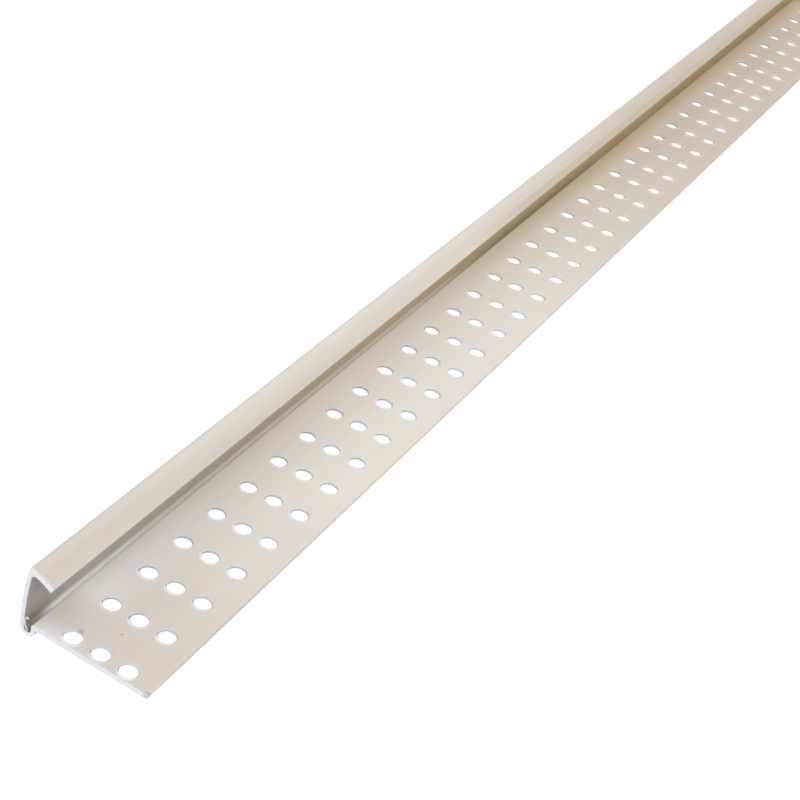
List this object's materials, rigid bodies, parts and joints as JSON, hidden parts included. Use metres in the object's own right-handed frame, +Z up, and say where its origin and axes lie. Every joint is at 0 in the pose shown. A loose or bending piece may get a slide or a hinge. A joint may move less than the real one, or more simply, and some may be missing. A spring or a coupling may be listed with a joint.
{
  "type": "perforated plastic j-trim",
  "caption": "Straight vinyl J-shaped edge trim with a perforated nailing flange, a rounded nose, a bowed web and a short sloping back leg.",
  "frame": {"origin": "middle of the stick's length and overall width, at the bottom of the nose", "axes": "+X along the stick, +Y across the flange towards the web, +Z up from the flange towards the back leg"},
  "size_m": [3.048, 0.0328, 0.0192],
  "materials": {
    "vinyl": "off-white rigid PVC, satin, with fine extrusion lines"
  },
  "bodies": {
    "root": {"j_trim": "vinyl"}
  },
  "joints": []
}
